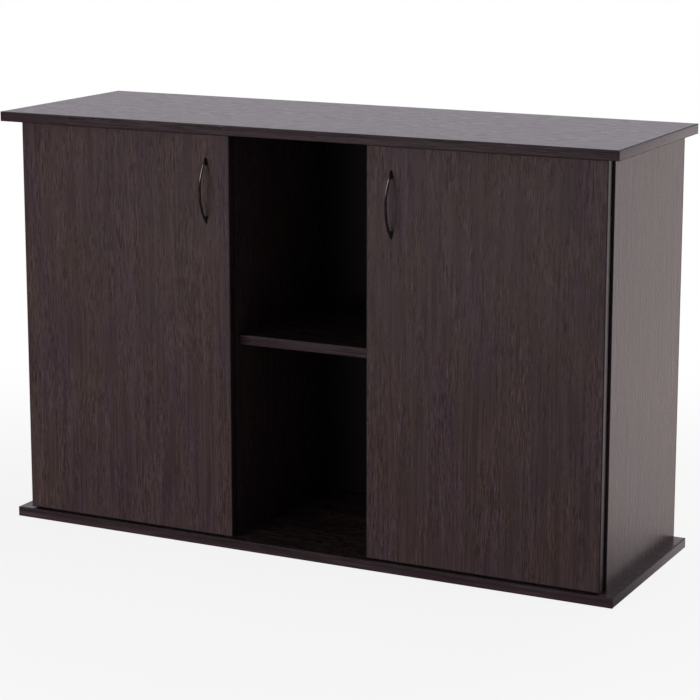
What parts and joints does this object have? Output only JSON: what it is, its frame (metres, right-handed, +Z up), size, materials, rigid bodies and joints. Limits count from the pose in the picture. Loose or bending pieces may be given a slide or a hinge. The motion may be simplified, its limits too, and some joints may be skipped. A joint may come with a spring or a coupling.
{
  "type": "aquarium cabinet",
  "caption": "Low cabinet that carries a fish tank, with overhanging top and base boards, a hinged door at each side and an open bay with a fixed shelf between them.",
  "frame": {"origin": "middle of the underside of the base board, on the floor", "axes": "+X to the right as seen from in front of the doors, +Y to the back, +Z up"},
  "size_m": [1.2, 0.4, 0.774],
  "materials": {
    "wenge_laminate": "satin melamine with a fine embossed grain",
    "wenge_edge_banding": "satin, printed grain along the edge",
    "dark_hardboard": "matt lacquer",
    "dark_bronze_metal": "dark plated, semi-gloss",
    "clear_soft_plastic": "translucent, soft",
    "beech": "raw, fluted",
    "nickel_plated_steel": "bright nickel plate",
    "zinc_plated_steel": "bright zinc plate"
  },
  "bodies": {
    "cabinet": {"top_board": "wenge_laminate", "top_board_edging": "wenge_edge_banding", "base_board": "wenge_laminate", "base_board_edging": "wenge_edge_banding", "left_side_panel": "wenge_laminate", "right_side_panel": "wenge_laminate", "left_side_panel_edging": "wenge_edge_banding", "right_side_panel_edging": "wenge_edge_banding", "left_divider": "wenge_laminate", "right_divider": "wenge_laminate", "left_divider_edging": "wenge_edge_banding", "right_divider_edging": "wenge_edge_banding", "centre_shelf": "wenge_laminate", "centre_shelf_edging": "wenge_edge_banding", "back_panel": "dark_hardboard", "back_panel_nails": "zinc_plated_steel", "top_cam_locks": "zinc_plated_steel", "top_cam_bolts": "zinc_plated_steel", "top_dowels": "beech", "base_dowels": "beech", "base_confirmat_screws": "zinc_plated_steel", "shelf_confirmat_screws": "zinc_plated_steel", "left_upper_hinge_arm": "nickel_plated_steel", "left_lower_hinge_arm": "nickel_plated_steel", "right_upper_hinge_arm": "nickel_plated_steel", "right_lower_hinge_arm": "nickel_plated_steel", "left_upper_hinge_plate": "nickel_plated_steel", "left_lower_hinge_plate": "nickel_plated_steel", "right_upper_hinge_plate": "nickel_plated_steel", "right_lower_hinge_plate": "nickel_plated_steel", "hinge_plate_screws": "zinc_plated_steel", "hinge_arm_screws": "zinc_plated_steel"},
    "left_door": {"left_door_panel": "wenge_laminate", "left_door_edging": "wenge_edge_banding", "left_handle": "dark_bronze_metal", "left_handle_screws": "zinc_plated_steel", "left_door_bumpers": "clear_soft_plastic", "left_upper_hinge_cup": "nickel_plated_steel", "left_lower_hinge_cup": "nickel_plated_steel", "left_hinge_pins": "nickel_plated_steel", "left_hinge_cup_screws": "nickel_plated_steel"},
    "right_door": {"right_door_panel": "wenge_laminate", "right_door_edging": "wenge_edge_banding", "right_handle": "dark_bronze_metal", "right_handle_screws": "zinc_plated_steel", "right_door_bumpers": "clear_soft_plastic", "right_upper_hinge_cup": "nickel_plated_steel", "right_lower_hinge_cup": "nickel_plated_steel", "right_hinge_pins": "nickel_plated_steel", "right_hinge_cup_screws": "nickel_plated_steel"}
  },
  "joints": [
    {"name": "left_door_hinge", "type": "hinge", "parent": "cabinet", "child": "left_door", "pos_m": [-0.56496, -0.163, 0.3865], "axis": [0, 0, -1], "range_deg": [0, 95]},
    {"name": "right_door_hinge", "type": "hinge", "parent": "cabinet", "child": "right_door", "pos_m": [0.56496, -0.163, 0.3865], "axis": [0, 0, 1], "range_deg": [0, 95]}
  ]
}
